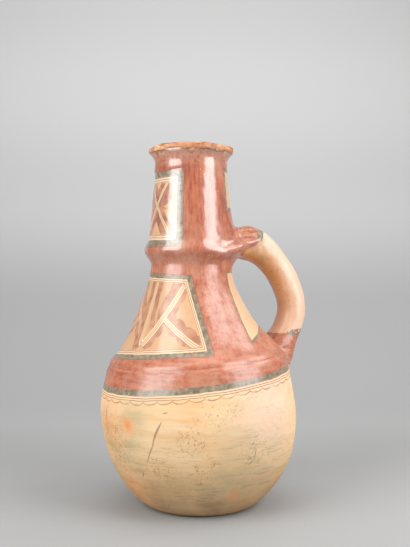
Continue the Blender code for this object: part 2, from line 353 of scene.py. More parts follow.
class JugShape:
    """The jug's wall and handle line, worked out from the sizes in the sidebar."""

    def __init__(self, wall, strap):
        self.wall = wall
        self.strap = strap
        keys = [place for place, _, _ in WALL_PLACES]
        self.heights = np.cumsum([getattr(wall, "rise_" + key) for key in keys])
        self.radii = np.array([getattr(wall, "radius_" + key) for key in keys])
        self.z = dict(zip(keys, self.heights))
        self.slopes = self.place_slopes()

    def place_slopes(self):
        """Slope of the wall at each place, flat at every crest and hollow."""
        runs = np.diff(self.heights)
        rates = np.diff(self.radii) / runs
        slopes = np.zeros(len(self.heights))
        slopes[0], slopes[-1] = rates[0], rates[-1]
        for i in range(1, len(rates)):
            if rates[i - 1] * rates[i] > 0.0:
                low, high = 2.0 * runs[i] + runs[i - 1], runs[i] + 2.0 * runs[i - 1]
                slopes[i] = (low + high) / (low / rates[i - 1] + high / rates[i])
        return slopes

    def radius(self, z):
        """Radius of the plain turned wall."""
        z = np.clip(z, 0.0, self.heights[-1])
        i = np.clip(np.searchsorted(self.heights, z, side="right") - 1, 0, len(self.radii) - 2)
        run = self.heights[i + 1] - self.heights[i]
        t = (z - self.heights[i]) / run
        rest = 1.0 - t
        return (
            self.radii[i] * (1.0 + 2.0 * t) * rest**2
            + self.radii[i + 1] * (3.0 - 2.0 * t) * t**2
            + self.slopes[i] * run * t * rest**2
            - self.slopes[i + 1] * run * rest * t**2
        )

    def axis_x(self, z):
        """Where the leaning axis stands at a height."""
        belly = ramp(z, self.z["flank"], self.z["roll"])
        neck = ramp(z, self.z["roll"], self.z["bell_top"])
        wall = self.wall
        return -wall.belly_lean * belly - (wall.neck_lean - wall.belly_lean) * neck

    def climb(self, z, angle):
        """How far the wall turned at a height is lifted towards the handle."""
        share = ramp(z, self.z["belly"], self.z["shoulder"])
        share = share * (1.0 - ramp(z, self.z["shoulder"], self.z["bell"]))
        return self.wall.shoulder_climb * share * 0.5 * (1.0 + np.cos(angle))

    def turned_height(self, z, angle):
        """The height at which the wall found at z was turned."""
        turned = z
        for _ in range(6):
            turned = z - self.climb(turned, angle)
        return turned

    def inner_radius(self, z):
        """Radius of the hollow."""
        step = 0.001
        slope = np.abs(self.radius(z + step) - self.radius(z - step)) / (2.0 * step)
        wall = self.wall
        share = ramp(z, self.z["shoulder"], self.z["groove"])
        clay = wall.belly_clay + (wall.neck_clay - wall.belly_clay) * share
        return self.radius(z) - clay * np.sqrt(1.0 + np.minimum(slope, 1.2) ** 2)

    def outside(self, z, radius):
        """Whether clay turned at this height and radius is nearer the outer wall."""
        return radius > 0.5 * (self.radius(z) + self.inner_radius(z))

    def swell(self, z, angle):
        """How far the wall swells out towards a handle root."""
        arc = np.abs((angle + math.pi) % math.tau - math.pi) * self.radius(z)
        swelled = 0.0
        for middle, (up, along), size in (
            (self.z["collar"] + self.strap.above_collar, UPPER_SPREAD, self.strap.upper_swell),
            (self.z["shoulder"] + LOWER_SWELL_RISE, LOWER_SPREAD, self.strap.lower_swell),
        ):
            swelled += size * np.exp(-(((z - middle) / up) ** 2) - (arc / along) ** 2)
        return swelled

    def strap_line(self, t):
        """Point and direction of the handle's middle line, from the collar to the shoulder."""
        s = self.strap
        top_z = self.z["collar"] + s.above_collar
        top = Vector((float(self.axis_x(top_z) + self.radius(top_z)), 0.0, top_z))
        bow = Vector((s.reach, 0.0, self.z["shoulder"] + s.bow_height))
        end = Vector((s.end_reach, 0.0, self.z["shoulder"] - s.end_below))
        if t < 0.5:
            above = bow + Vector((0.0, 0.0, s.bow_above))
            return bezier((top, top + Vector((s.top_run, 0.0, s.top_rise)), above, bow), 2.0 * t)
        below = bow - Vector((0.0, 0.0, s.bow_below))
        pull = end + Vector((0.5 * s.heel_slope, 0.0, s.heel_slope))
        return bezier((bow, below, pull, end), 2.0 * t - 1.0)

    def strap_ring(self, t):
        """One ring of the strap, a rounded oval square to the middle line."""
        s = self.strap
        place, way = self.strap_line(t)
        outward = Vector((-way.z, 0.0, way.x))
        upper = 1.0 - ramp(t, 0.0, 0.28)
        lower = ramp(t, 0.72, 1.0)
        thickness = s.thickness + s.upper_thickening * upper + s.lower_thickening * lower
        width = s.width + s.upper_widening * upper + s.lower_widening * lower
        ring = []
        for i in range(STRAP_SIDES):
            angle = math.tau * (i + 0.5) / STRAP_SIDES
            across = math.copysign(abs(math.cos(angle)) ** 0.87, math.cos(angle))
            through = math.copysign(abs(math.sin(angle)) ** 0.87, math.sin(angle))
            point = place + outward * (0.5 * thickness * through)
            point.y = 0.5 * width * across
            ring.append(point)
        return ring


def ramp(value, low, high):
    """Rises smoothly from 0 at low to 1 at high."""
    t = np.clip((value - low) / (high - low), 0.0, 1.0)
    return t * t * (3.0 - 2.0 * t)


def bump(value, middle, width):
    """Rises smoothly to 1 at the middle and falls away over the width."""
    return np.exp(-(((value - middle) / width) ** 2))


def bezier(points, t):
    """Point and direction of a cubic curve."""
    a, b, c, d = points
    rest = 1.0 - t
    place = a * rest**3 + b * 3.0 * t * rest**2 + c * 3.0 * t**2 * rest + d * t**3
    way = (b - a) * rest**2 + (c - b) * 2.0 * t * rest + (d - c) * t**2
    return place, way.normalized()


def deselect_all():
    if bpy.context.mode != "OBJECT":
        bpy.ops.object.mode_set(mode="OBJECT")
    bpy.ops.object.select_all(action="DESELECT")


def select_edges(piece, wanted):
    """Selects the edges that pass a test, in edit mode."""
    bpy.ops.mesh.select_mode(type="EDGE")
    bpy.ops.mesh.select_all(action="DESELECT")
    mesh = bmesh.from_edit_mesh(piece.data)
    for edge in mesh.edges:
        edge.select_set(wanted(edge))
    bmesh.update_edit_mesh(piece.data)


def rows_between(low, high, count):
    return [low + (high - low) * i / count for i in range(count)]


def outer_rows():
    """Turned heights of the cage's outer rows, and the rows between which each root is cut."""
    rows, starts = list(FOOT_ROWS), []
    for low, high, count in STRETCHES:
        starts.append(len(rows))
        rows += rows_between(low, high, count)
    lower, upper = starts[1], starts[3]
    return rows + list(LIP_ROWS), (lower, starts[2]), (upper, starts[4])


def body_outline(shape):
    """(radius, height) of every row, up the outside, over the lip and down the hollow."""
    rows, lower, upper = outer_rows()
    outline = [(float(shape.radius(z)), z) for z in rows]
    lip_z, lip_r = rows[-1], float(shape.radius(rows[-1]))
    clay = shape.wall.neck_clay
    for i in range(1, LIP_STEPS):
        angle = math.pi * i / LIP_STEPS
        crown = shape.wall.lip_crown * math.sin(angle)
        outline.append((lip_r - 0.5 * clay * (1.0 - math.cos(angle)), lip_z + crown))
    outline.append((lip_r - clay, lip_z))
    inner = rows_between(shape.wall.floor, LIP_FOOT, HOLLOW_ROWS)
    outline += [(float(shape.inner_radius(z)), z) for z in reversed(inner)]
    outline.append((0.5 * outline[-1][0], shape.wall.floor))
    return outline, lower, upper


def turn_body(shape):
    """Extrudes a disc into the pot: up the outside, over the lip and down to the floor."""
    outline, lower, upper = body_outline(shape)
    deselect_all()
    bpy.ops.mesh.primitive_circle_add(
        vertices=TURN_SIDES, radius=outline[0][0], fill_type="NGON", location=(0.0, 0.0, 0.0)
    )
    body = bpy.context.object
    body.name = "painted_jug"
    bpy.ops.object.mode_set(mode="EDIT")
    bpy.ops.mesh.select_all(action="SELECT")
    for (low_r, low_z), (high_r, high_z) in zip(outline, outline[1:]):
        bpy.ops.mesh.extrude_region_move(
            TRANSFORM_OT_translate={"value": (0.0, 0.0, high_z - low_z)}
        )
        bpy.ops.transform.resize(value=(high_r / low_r, high_r / low_r, 1.0))
    bpy.ops.mesh.select_all(action="SELECT")
    bpy.ops.mesh.normals_make_consistent(inside=False)
    cut_root(body, shape, outline, lower, LOWER_ROOT_SEGMENTS)
    cut_root(body, shape, outline, upper, UPPER_ROOT_SEGMENTS)
    bpy.ops.object.mode_set(mode="OBJECT")
    return body


def cut_root(body, shape, outline, rows, segments):
    """Opens the wall between two rows, facing +X, where a handle root joins it."""
    low, high = outline[rows[0]][1], outline[rows[1]][1]
    limit = math.pi * segments / TURN_SIDES
    bpy.ops.mesh.select_all(action="DESELECT")
    mesh = bmesh.from_edit_mesh(body.data)
    for face in mesh.faces:
        centre = face.calc_center_median()
        outside = shape.outside(centre.z, math.hypot(centre.x, centre.y))
        in_rows = low < centre.z < high
        if in_rows and outside and abs(math.atan2(centre.y, centre.x)) < limit:
            face.select_set(True)
    bmesh.update_edit_mesh(body.data)
    bpy.ops.mesh.delete(type="FACE")


def place_body(body, shape):
    """Leans the turned cage, lifts its shoulder and swells it towards the roots."""
    for vert in body.data.vertices:
        x, y, z = vert.co
        radius, angle = math.hypot(x, y), math.atan2(y, x)
        if shape.outside(z, radius):
            swelled = radius + float(shape.swell(z, angle))
            x, y = x * swelled / radius, y * swelled / radius
        vert.co = (x + float(shape.axis_x(z)), y, z + float(shape.climb(z, angle)))


def pull_strap(shape):
    """Extrudes a ring along the handle's line, each ring laid on its own section."""
    deselect_all()
    bpy.ops.mesh.primitive_circle_add(
        vertices=STRAP_SIDES, radius=0.5 * shape.strap.width, fill_type="NOTHING"
    )
    strap = bpy.context.object
    strap.name = "strap"
    bpy.ops.object.mode_set(mode="EDIT")
    bpy.ops.mesh.select_all(action="SELECT")
    step = shape.strap.reach / STRAP_RINGS
    for _ in range(STRAP_RINGS):
        bpy.ops.mesh.extrude_region_move(TRANSFORM_OT_translate={"value": (0.0, 0.0, step)})
    bpy.ops.object.mode_set(mode="OBJECT")
    verts = strap.data.vertices
    for i in range(STRAP_RINGS + 1):
        t = STRAP_START + (STRAP_STOP - STRAP_START) * i / STRAP_RINGS
        for j, point in enumerate(shape.strap_ring(t)):
            verts[i * STRAP_SIDES + j].co = point
    return strap


def fuse(body, strap):
    """Joins the strap and the body, and bridges each end of the strap to its root."""
    deselect_all()
    strap.select_set(True)
    body.select_set(True)
    bpy.context.view_layer.objects.active = body
    bpy.ops.object.join()
    bpy.ops.object.mode_set(mode="EDIT")
    for above in (True, False):

        def at_root(edge):
            middle = 0.5 * (edge.verts[0].co.z + edge.verts[1].co.z)
            return edge.is_boundary and (middle > ROOT_DIVIDE) == above

        select_edges(body, at_root)
        bpy.ops.mesh.bridge_edge_loops(
            number_cuts=ROOT_CUTS, interpolation="SURFACE", smoothness=ROOT_ROUNDNESS
        )
    bpy.ops.mesh.select_all(action="SELECT")
    bpy.ops.mesh.normals_make_consistent(inside=False)
    bpy.ops.object.mode_set(mode="OBJECT")


def subdivide_once(body):
    modifier = body.modifiers.new("round", "SUBSURF")
    modifier.levels = 1
    modifier.render_levels = 1
    bpy.context.view_layer.objects.active = body
    bpy.ops.object.modifier_apply(modifier=modifier.name)


def read(items, key, width=1, kind=np.float32):
    """The values of one kind that a mesh's items hold."""
    values = np.empty(len(items) * width, kind)
    items.foreach_get(key, values)
    return values.reshape(-1, width) if width > 1 else values


def points_of(body):
    return read(body.data.vertices, "co", 3).astype(float)


def move_points(body, points):
    body.data.vertices.foreach_set("co", points.astype(np.float32).ravel())
    body.data.update()


def settle(body, shape):
    """Lays the smoothed clay back on the wall's true outline, except at the handle."""
    points = points_of(body)
    angle, turned, radius, clear = wall_places(points, shape)
    true = shape.radius(turned) + shape.swell(turned, angle)
    between_rims = (turned > ABOVE_FOOT) & (points[:, 2] < BELOW_LIP)
    share = np.where(shape.outside(turned, radius) & between_rims, clear, 0.0)
    moved = radius + (true - radius) * share
    scale = np.where(radius > 0.0, moved / np.maximum(radius, 1e-9), 1.0)
    axis = shape.axis_x(turned)
    points[:, 0] = axis + (points[:, 0] - axis) * scale
    points[:, 1] *= scale
    move_points(body, points)


def wall_places(points, shape):
    """Angle, turned height and radius of points, and how clear of the handle each stands."""
    turned = points[:, 2]
    for _ in range(3):
        angle = np.arctan2(points[:, 1], points[:, 0] - shape.axis_x(turned))
        turned = shape.turned_height(points[:, 2], angle)
    radius = np.hypot(points[:, 0] - shape.axis_x(turned), points[:, 1])
    clear = np.ones(len(points))
    rows, lower, upper = outer_rows()
    for (low, high), segments in ((lower, LOWER_ROOT_SEGMENTS), (upper, UPPER_ROOT_SEGMENTS)):
        low_z, high_z = rows[low], rows[high]
        beside = np.abs(angle) / (math.pi * segments / TURN_SIDES)
        above = np.abs(turned - 0.5 * (low_z + high_z)) / (0.5 * (high_z - low_z))
        clear = np.minimum(clear, ramp(np.maximum(beside, above), 1.02, 1.5))
    standoff = radius - shape.radius(turned) - shape.swell(turned, angle)
    clear = np.where(standoff > 0.004, 0.0, clear)
    return angle, turned, radius, clear


def make_jug(shape):
    body = turn_body(shape)
    place_body(body, shape)
    fuse(body, pull_strap(shape))
    for _ in range(2):
        subdivide_once(body)
        settle(body, shape)
    work_surface(body, shape)
    lay_out_wall(body, shape)
    deselect_all()
    body.select_set(True)
    bpy.context.view_layer.objects.active = body
    bpy.ops.object.shade_smooth()
    return body


def waves(points, seed, size):
    """Soft, seeded unevenness from -1 to 1, with bumps of about the given size."""
    random = np.random.default_rng(seed)
    total = np.zeros(len(points))
    for octave in range(2):
        for _ in range(6):
            direction = random.normal(size=3)
            direction /= np.linalg.norm(direction)
            wave = points @ direction * (math.tau / size) * 1.9**octave
            total += np.sin(wave + random.uniform(0.0, math.tau)) * 0.55**octave
    return total / 4.0


def work_surface(body, shape):
    """The potter's hand: uneven walls, the crease under the bell, a worn and notched lip."""
    points = points_of(body)
    angle, turned, radius, _ = wall_places(points, shape)
    outside = shape.outside(turned, radius)
    normals = read(body.data.vertices, "normal", 3)
    out = 0.00035 * waves(points, 3, 0.085) + 0.00016 * waves(points, 5, 0.022) - 0.00012
    out += 0.00005 * waves(points, 8, 0.009)
    # The crease above the shoulder's roll, higher at the handle
    crease_z = 0.1375 + 0.013 * 0.5 * (1.0 + np.cos(angle))
    off_strap = radius < shape.radius(turned) + 0.012
    out -= 0.0008 * bump(points[:, 2], crease_z, 0.0020) * outside * off_strap
    # The upper root is two rolls of clay with a fold between them on each side
    x_mm, z_mm = points[:, 0] * 1000.0, points[:, 2] * 1000.0
    far_end = 1.0 - ramp(x_mm, 56.0, 63.0)
    flank = far_end * np.abs(normals[:, 1]) * outside
    fold_z = 261.6 + 0.16 * np.abs(x_mm - 40.0)
    fold = bump(z_mm, fold_z, 2.3) * ramp(x_mm, 10.0, 26.0) * (1.0 - ramp(x_mm, 48.0, 58.0))
    ridge_z = 251.2 + 0.30 * (x_mm - 24.0)
    ridge = bump(z_mm, ridge_z, 4.2) * ramp(x_mm, -8.0, 12.0)
    out += (0.0032 * ridge - 0.0024 * fold) * flank
    out += 0.0040 * bump(x_mm, 30.0, 9.0) * outside * bump(z_mm, ridge_z, 4.5)
    out += 0.0036 * bump(x_mm, 50.0, 9.0) * np.clip(normals[:, 2], 0.0, 1.0) * (z_mm > 262.0)
    # Above the fold the root is set back towards its middle
    set_back = ramp(z_mm, fold_z - 0.5, fold_z + 2.5) * (1.0 - ramp(z_mm, 277.0, 283.0))
    set_back *= ramp(x_mm, 26.0, 36.0) * far_end * outside
    lean = np.clip(0.08 + 0.028 * (z_mm - fold_z), 0.0, 0.45) * set_back
    out *= ramp(points[:, 2], 0.0008, 0.008)
    points += normals * out[:, None]
    points[:, 1] *= 1.0 - lean
    # The lip's edge is rubbed unevenly, with one chip at the front
    on_lip = ramp(points[:, 2], 0.341, 0.350)
    wear = 0.0005 * waves(points, 11, 0.03) - 0.0006
    chip = bump(np.degrees(angle), CHIP_ANGLE, 3.2) * outside
    points[:, 2] += on_lip * (wear - 0.0016 * chip)
    points[:, 2] = np.maximum(points[:, 2], 0.0)
    move_points(body, points)


def lay_out_wall(body, shape):
    """Gives each corner its angle and height on the wall, and each point its place on the strap."""
    points = points_of(body)
    angle, turned, radius, _ = wall_places(points, shape)
    degrees = np.degrees(angle)
    degrees = np.where(degrees > 90.0, degrees - 360.0, degrees)
    mesh = body.data
    corners = read(mesh.loops, "vertex_index", kind=np.int32)
    starts, totals = (
        read(mesh.polygons, key, kind=np.int32) for key in ("loop_start", "loop_total")
    )
    turns = degrees[corners]
    lowest = np.minimum.reduceat(turns, starts)
    highest = np.maximum.reduceat(turns, starts)
    across_seam = np.repeat(highest - lowest > 180.0, totals)
    turns = np.where(across_seam & (turns < -90.0), turns + 360.0, turns)
    layer = mesh.uv_layers[0] if mesh.uv_layers else mesh.uv_layers.new()
    layer.name = "wall"
    places = np.stack([turns / 360.0 + 0.75, points[corners, 2] / 0.36], 1)
    layer.data.foreach_set("uv", places.astype(np.float32).ravel())
    standoff = radius - shape.radius(turned) - shape.swell(turned, angle)
    marks = {"outer_face": strap_face(points, shape), "standoff": standoff * 1000.0}
    for name, values in marks.items():
        attribute = mesh.attributes.new(name, "FLOAT", "POINT")
        attribute.data.foreach_set("value", values.astype(np.float32))


def strap_face(points, shape):
    """1 on the strap's outer face, -1 on its inner face, 0 at its middle line."""
    steps = np.linspace(0.0, 1.0, 81)
    line = [shape.strap_line(t) for t in steps]
    places = np.array([place for place, _ in line])
    outward = np.array([(-way.z, 0.0, way.x) for _, way in line])
    nearest = np.argmin(((points[:, None, :] - places[None]) ** 2).sum(2), axis=1)
    off = ((points - places[nearest]) * outward[nearest]).sum(1)
    return np.clip(off / (0.5 * shape.strap.thickness), -1.0, 1.0)


class Brush:
    """Lays paint on one material, with patterns laid in the piece's own coordinates."""

    def __init__(self, name):
        self.material = bpy.data.materials.new(name)
        self.material.use_nodes = True
        self.tree = self.material.node_tree
        self.shader = self.tree.nodes["Principled BSDF"]
        self.space = self.put("TexCoord", out="Object")

    def put(self, kind, inputs=(), out=0, **settings):
        """Adds one node with its settings and links; a kind in capitals is a Math operation."""
        if kind.isupper():
            kind, settings["operation"] = "Math", kind
        node = self.tree.nodes.new("ShaderNode" + kind)
        for key, value in settings.items():
            setattr(node, key, value)
        self.feed(node, inputs)
        return node.outputs[out]

    def feed(self, node, inputs):
        """Links or sets a node's inputs, given in order or by name."""
        for slot, value in inputs.items() if isinstance(inputs, dict) else enumerate(inputs):
            value = self.made(value)
            if isinstance(value, bpy.types.NodeSocket):
                self.tree.links.new(value, node.inputs[slot])
            else:
                node.inputs[slot].default_value = value

    def made(self, value):
        """The value itself, or what comes out of a node written as (kind, its inputs in order)."""
        if isinstance(value, tuple) and isinstance(value[0], str):
            return self.put(value[0], value[1:])
        return value

    def within(self, value, low, high, soft=0.15):
        """Mask that is 1 where value lies between two limits, either of which may be None."""
        value = self.made(value)
        masks = []
        for limit, rising in ((low, 1.0), (high, 0.0)):
            if limit is not None:
                span = (value, limit - soft, limit + soft, 1.0 - rising, rising)
                masks.append(self.put("MapRange", span, interpolation_type="SMOOTHSTEP"))
        return masks[0] if len(masks) == 1 else self.put("MULTIPLY", masks)

    def cover(self, under, over, *masks):
        """Lays a paint over another where all the masks meet."""
        share = masks[0]
        for mask in masks[1:]:
            share = self.put("MULTIPLY", (share, mask))
        # Of the Mix node's sockets, 6 and 7 take the colours and 2 gives the colour
        return self.put("Mix", {0: share, 6: under, 7: over}, out=2, data_type="RGBA")

    def mottle(self, millimetres, stretch=(1.0, 1.0, 1.0), detail=3.0, out=0):
        """Cloudy pattern whose bumps are this wide on the real jug, stretched by axis."""
        laid = self.put("Mapping", {"Vector": self.space, "Scale": stretch})
        pattern = {"Vector": laid, "Scale": 1000.0 / millimetres, "Detail": detail}
        return self.put("TexNoise", {**pattern, "Roughness": 0.55}, out=out)

    def stroke(self, place, start, stop):
        """Distance beside a stroke, positive on its right, distance along it, and its length."""
        way = Vector((stop[0] - start[0], stop[1] - start[1], 0.0))
        size = way.length
        way.normalize()
        off = self.put("VectorMath", (place, (*start, 0.0)), operation="SUBTRACT")
        beside, along = (
            self.put("VectorMath", (off, line), out="Value", operation="DOT_PRODUCT")
            for line in ((way.y, -way.x, 0.0), tuple(way))
        )
        return beside, along, size

    def scratch(self, place, start, stop, half):
        """Mask of a stroke that tapers to both ends."""
        beside, along, size = self.stroke(place, start, stop)
        taper = self.put("MULTIPLY_ADD", (along, 2.0 / size, -1.0))
        taper = ("MULTIPLY_ADD", ("MULTIPLY", taper, taper), half, ("ABSOLUTE", beside))
        return self.within(taper, None, half, 0.3)

    def blot(self, place, centre, radius, soft):
        """Mask of a round spot."""
        gap = self.put("VectorMath", (place, (*centre, 0.0)), out="Value", operation="DISTANCE")
        return self.within(gap, None, radius, soft)


class JugCoat:
    """What every part of the paintwork needs: the brush, the colours and the places on the jug."""

    def __init__(self, colours):
        self.colours = colours
        self.b = b = Brush("burnished_slip_and_resin_on_fired_clay")
        across = b.put("SeparateXYZ", (b.put("UVMap", uv_map="wall"),))
        self.angle = b.put("MULTIPLY_ADD", (across, 360.0, 90.0 - 360.0))
        self.x, self.height = (
            b.put("MULTIPLY", (b.put("SeparateXYZ", (b.space,), out=axis), 1000.0)) for axis in "XZ"
        )
        self.face, standoff = (
            b.put("Attribute", out="Fac", attribute_name=key) for key in ("outer_face", "standoff")
        )
        self.inside = b.within(standoff, None, -3.5, 0.8)
        self.on_strap = b.within(standoff, 2.5, None, 1.0)
        self.on_wall = b.within(standoff, None, 2.5, 1.0)

        # The painter's hand wavers over about 15 mm
        waver = b.mottle(15.0, detail=2.0, out="Color")
        sway, rise = (b.put("SeparateXYZ", (waver,), out=axis) for axis in "XY")
        self.p = b.put("ADD", (("MULTIPLY_ADD", sway, 1.6, -0.8), self.angle))
        self.z = b.put("ADD", (("MULTIPLY_ADD", rise, 1.8, -0.9), self.height))

        # Paints that more than one part uses
        self.brushed = b.mottle(3.8, detail=4.0)
        self.clouds = b.mottle(26.0)
        rubbed = ("MapRange", self.brushed, 0.38, 0.66)
        self.black = b.cover(colours.black, colours.black_pale, rubbed)
        thick = ("MapRange", b.mottle(8.0, detail=4.0), 0.38, 0.62)
        self.fill = b.cover(colours.fill_dark, colours.fill, thick)
        sunny = ("MapRange", self.clouds, 0.35, 0.65, 0.0, 0.35)
        self.panel = b.cover(colours.panel, colours.line, sunny)

    def red(self):
        """Red slip: upright burnish strokes above the shoulder, level ones round it."""
        b, colours = self.b, self.colours
        upright = b.mottle(2.4, stretch=(1.0, 1.0, 0.07))
        level = b.mottle(3.3, stretch=(0.12, 0.12, 1.0))
        high = b.put("MapRange", (self.z, 148.0, 164.0), interpolation_type="SMOOTHSTEP")
        self.strokes = b.put("Mix", {0: high, 2: level, 3: upright}, data_type="FLOAT")
        red = b.cover(colours.red_dark, colours.red, ("MapRange", self.strokes, 0.36, 0.60))
        pooled = b.mottle(8.0, detail=4.0)
        red = b.cover(red, colours.red_dark, b.within(pooled, None, 0.44, 0.06), 0.32)
        # Bell, shoulder and collar carry dust, and so does the neck just under the lip. Low down
        # the red is lightened partly for the dust and partly as painted sheen, a broad highlight
        # laid into the colour
        self.dust_and_sheen = b.within(self.z, None, 240.0, 18.0)
        rubbed = ("MapRange", pooled, 0.4, 0.62, 0.05, 0.45)
        red = b.cover(red, colours.red_worn, self.dust_and_sheen, rubbed)
        scuffed = b.within(self.z, 333.0, None, 8.0)
        red = b.cover(red, colours.red_worn, scuffed, b.within(self.brushed, 0.45, None, 0.08), 0.7)
        red = b.cover(red, colours.red_worn, ("MapRange", self.clouds, 0.50, 0.72, 0.0, 0.7))
        # Fine crackle in the resin, real cells 2 to 4 mm across, and small chips
        crackle = b.within(b.mottle(4.2, detail=2.0), 0.488, 0.512, 0.012)
        red = b.cover(red, colours.red_worn, crackle, 0.40)
        chips = b.within(b.mottle(1.7, detail=2.0), None, 0.30, 0.03)
        red = b.cover(red, colours.line, chips, b.within(self.clouds, None, 0.52, 0.08), 0.5)
        # Two dark lines of painted shade run round in the crease under the bell, higher at the
        # handle
        crease = b.put("MULTIPLY_ADD", (("COSINE", ("RADIANS", self.angle)), -6.5, self.z))
        broken = b.put("MapRange", (b.mottle(9.0), 0.42, 0.58, 0.0, 0.8))
        for at in CREASE_SHADE_HEIGHTS:
            red = b.cover(red, colours.red_dark, b.within(crease, at - 0.35, at + 0.35), broken)
        return red

    def framed(self, colour, gap, black_in, lines_in):
        """A panel's dark border, with cream lines inside it parted by two thin brown ones.

        Also gives the mask of the field inside the lines.
        """
        b, colours, where = self.b, self.colours, self.on_wall
        colour = b.cover(colour, colours.red_dark, b.within(gap, -0.8, 0.15, 0.2), where, 0.8)
        worn = ("MapRange", b.mottle(5.0), 0.30, 0.42, 0.35, 1.0)
        colour = b.cover(colour, self.black, b.within(gap, None, -0.5, 0.25), where, worn)
        colour = b.cover(colour, colours.line, b.within(gap, None, -black_in), where)
        for share in (0.42, 0.86):
            at = -black_in - (lines_in - black_in) * share
            fine = b.within(gap, at - 0.36, at + 0.36, 0.25)
            colour = b.cover(colour, colours.fill_dark, fine, where, 0.85)
        return colour, b.put("MULTIPLY", (b.within(gap, None, -lines_in), where))

    def plain(self, colour, gap, black_in, cream):
        """A plain panel in a thin dark border."""
        b = self.b
        gap = b.made(gap)
        colour = b.cover(colour, self.black, b.within(gap, None, 0.0), self.on_wall)
        return b.cover(colour, cream, b.within(gap, None, -black_in), self.on_wall)

    def banded(self, colour, stroke, where, half, lines):
        """A cream band that carries fine red-brown lines."""
        b, colours = self.b, self.colours
        beside, along, size = stroke
        reach = b.put("MULTIPLY", (b.within(along, -0.5, size, 0.4), where))
        colour = b.cover(colour, colours.line, b.within(beside, -half, half, 0.2), reach)
        for line in lines:
            fine = b.within(beside, line - 0.3, line + 0.3, 0.3)
            colour = b.cover(colour, colours.fill_dark, fine, reach, 0.85)
        return colour

    def washed(self, stroke, right, left, depth, lobe):
        """Mask of a wash on both sides of a stroke, its far edges in lobes."""
        b = self.b
        beside, along, size = stroke
        wave = ("ABSOLUTE", ("SINE", ("MULTIPLY", along, math.pi / lobe)))
        far = ("MAXIMUM", ("ADD", beside, -right), ("MULTIPLY_ADD", beside, -1.0, -left))
        near = b.within(("MULTIPLY_ADD", wave, -depth, far), None, 0.0, 0.35)
        return b.put("MULTIPLY", (near, b.within(along, -1.0, size, 0.8)))

    def neck_panels(self, colour):
        """Front panel with a crossed pattern, and the plain panel above the handle."""
        b, z = self.b, self.z
        s = ("ABSOLUTE", ("ADD", self.p, -NECK_PANEL_ANGLE))
        s = b.put("MULTIPLY", (s, NECK_MM_PER_DEGREE))
        above = ("SUBTRACT", ("ABSOLUTE", ("SUBTRACT", z, NECK_MIDDLE)), NECK_HALF_HEIGHT)
        gap = b.put("MAXIMUM", (("SUBTRACT", s, NECK_HALF_WIDTH), above))
        colour, field = self.framed(colour, gap, NECK_BORDER, NECK_LINES)
        colour = b.cover(colour, self.fill, field)
        place = b.put("CombineXYZ", (s, z, 0.0))

        # Cream triangles between the arms: below, above, beside and under the lower arm
        arms = [b.stroke(place, CROSSING, stop) for stop in ARM_ENDS]
        rise = ("MULTIPLY", ("ABSOLUTE", ("SUBTRACT", z, 290.7)), 1.0 / 8.5)
        side = ("MULTIPLY_ADD", ("POWER", rise, 0.55), -12.5, s)
        for cream in (
            b.within(("MULTIPLY_ADD", s, 1.59, z), None, 277.2, 0.3),
            b.within(("MULTIPLY_ADD", s, -1.5, z), 307.1, None, 0.3),
            b.within(side, 8.2, None, 0.3),
            ("MULTIPLY", b.within(arms[1][0], None, -6.2, 0.3), b.within(z, None, 288.0, 0.3)),
        ):
            colour = b.cover(colour, self.panel, cream, field)
        for stroke in arms:
            colour = self.banded(colour, stroke, field, 1.35, (0.0,))

        # Above the handle
        half = BACK_MM_PER_DEGREE * BACK_HALF_TURN
        beside = ("MULTIPLY_ADD", ("ABSOLUTE", self.p), BACK_MM_PER_DEGREE, -half)
        above = ("SUBTRACT", ("ABSOLUTE", ("SUBTRACT", z, BACK_MIDDLE)), BACK_HALF_HEIGHT)
        return self.plain(colour, ("MAXIMUM", beside, above), 3.2, self.panel)

    def bell_panels(self, colour):
        """Front panel with crossing bands and wavy stripes, and the plain one under the handle."""
        b, colours, z = self.b, self.colours, self.z
        turned = b.put("ADD", (self.p, -BELL_PANEL_ANGLE))
        s = b.put("ABSOLUTE", (turned,))
        at_zero = BELL_MM_PER_DEGREE + BELL_FOOT * BELL_NARROWING
        scale = b.put("MULTIPLY_ADD", (z, -BELL_NARROWING, at_zero))
        rise = b.put("ADD", (z, -BELL_WIDEST))
        edge = ("MULTIPLY_ADD", ("MULTIPLY", rise, rise), -BELL_CURVE, BELL_HALF_TURN)
        beside = ("MULTIPLY", ("SUBTRACT", s, edge), scale)
        middle = ("MULTIPLY_ADD", turned, -0.035, z)
        above = ("SUBTRACT", ("ABSOLUTE", ("SUBTRACT", middle, BELL_MIDDLE)), BELL_HALF_HEIGHT)
        above = b.put("MULTIPLY_ADD", (turned, 0.065, above))
        # The border is thinner above and below than at the side
        above = ("MAXIMUM", ("MULTIPLY", above, 1.311), ("ADD", above, -1.4))
        gap = b.put("MAXIMUM", (beside, above))
        colour, field = self.framed(colour, gap, BELL_BORDER, BELL_LINES)
        colour = b.cover(colour, b.cover(self.panel, colours.belly_tan, 0.3), field)
        place = b.put("CombineXYZ", (s, z, 0.0))

